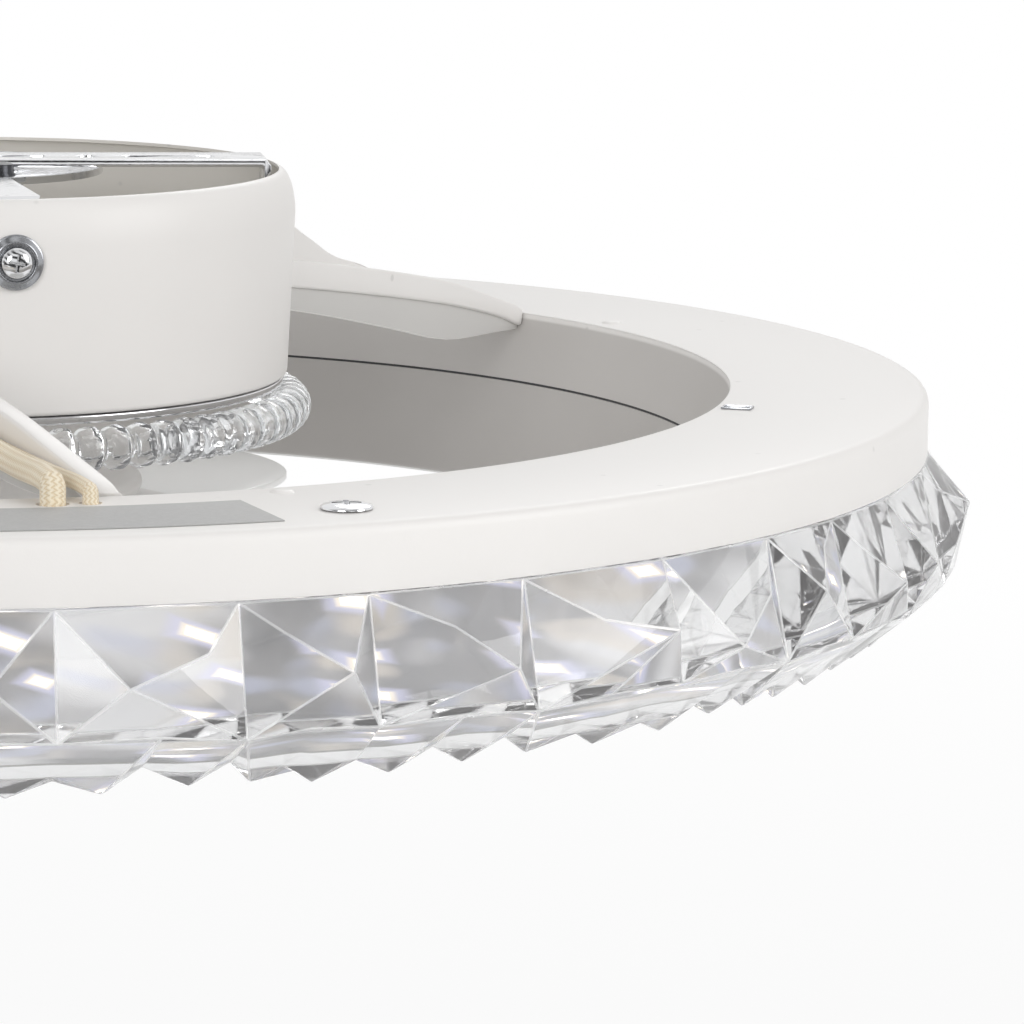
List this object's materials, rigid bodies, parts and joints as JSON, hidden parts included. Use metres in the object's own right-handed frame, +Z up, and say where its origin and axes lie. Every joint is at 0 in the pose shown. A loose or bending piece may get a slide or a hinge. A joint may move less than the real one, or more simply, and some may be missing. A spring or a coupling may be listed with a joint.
{
  "type": "ceiling fan light",
  "caption": "Flush ceiling fan with small blades turning inside a white light ring edged with faceted clear crystals, hung from a strap.",
  "frame": {"origin": "Centre of the ceiling strap's top face, on the fan's axis: the point where the fan meets the ceiling. The fan hangs below it.", "axes": "+Z up, along the fan's axis of rotation and out of the strap's top face. +X along the ceiling strap. +Y points away from the viewer of the picture."},
  "size_m": [0.5222, 0.5222, 0.1144],
  "materials": {
    "polished_steel": "polished nickel-plated steel",
    "dark_steel": "dark oiled steel",
    "white_enamel": "satin white powder coat on steel",
    "white_plastic": "white satin plastic",
    "grey_plastic": "matte grey plastic case",
    "milky_acrylic": "milky light-spreading acrylic",
    "clear_acrylic": "clear polished acrylic with cut facets",
    "braided_sleeve": "beige braided glass-fibre sleeve",
    "board_enamel": "white solder mask on a lamp board"
  },
  "bodies": {
    "fixture": {"ceiling_strap": "polished_steel", "cross_plate": "polished_steel", "hanger_nipple": "dark_steel", "nipple_nut": "polished_steel", "bracket_stud_back": "dark_steel", "bracket_stud_front": "dark_steel", "canopy_drum": "white_enamel", "canopy_screw_front": "polished_steel", "canopy_screw_back": "polished_steel", "cup_washer_front": "polished_steel", "cup_washer_back": "polished_steel", "light_driver": "white_plastic", "fan_controller": "grey_plastic", "bead_tray": "polished_steel", "bead_ring": "clear_acrylic", "motor_flange": "polished_steel", "motor_shaft": "polished_steel", "shaft_nut": "polished_steel", "bearing_top": "polished_steel", "bearing_low": "polished_steel", "stator_core": "dark_steel", "arm_right": "white_enamel", "arm_left": "white_enamel", "arm_front": "white_enamel", "wire_sleeve_inner": "braided_sleeve", "wire_sleeve_outer": "braided_sleeve", "ring_housing": "white_enamel", "lamp_board": "board_enamel", "ring_screw_1": "polished_steel", "ring_screw_2": "polished_steel", "light_cover": "milky_acrylic", "crystal_ring": "clear_acrylic"},
    "rotor": {"rotor_shell": "white_enamel", "blade_flange": "white_enamel", "fan_blade_1": "white_plastic", "fan_blade_2": "white_plastic", "fan_blade_3": "white_plastic", "fan_blade_4": "white_plastic", "fan_blade_5": "white_plastic", "blade_screw_1": "polished_steel", "blade_screw_2": "polished_steel", "blade_screw_3": "polished_steel", "blade_screw_4": "polished_steel", "blade_screw_5": "polished_steel", "hub_cap": "white_enamel"}
  },
  "joints": [
    {"name": "fan_spin", "type": "hinge", "parent": "fixture", "child": "rotor", "pos_m": [0, 0, -0.078], "axis": [0, 0, 1], "continuous": true}
  ]
}
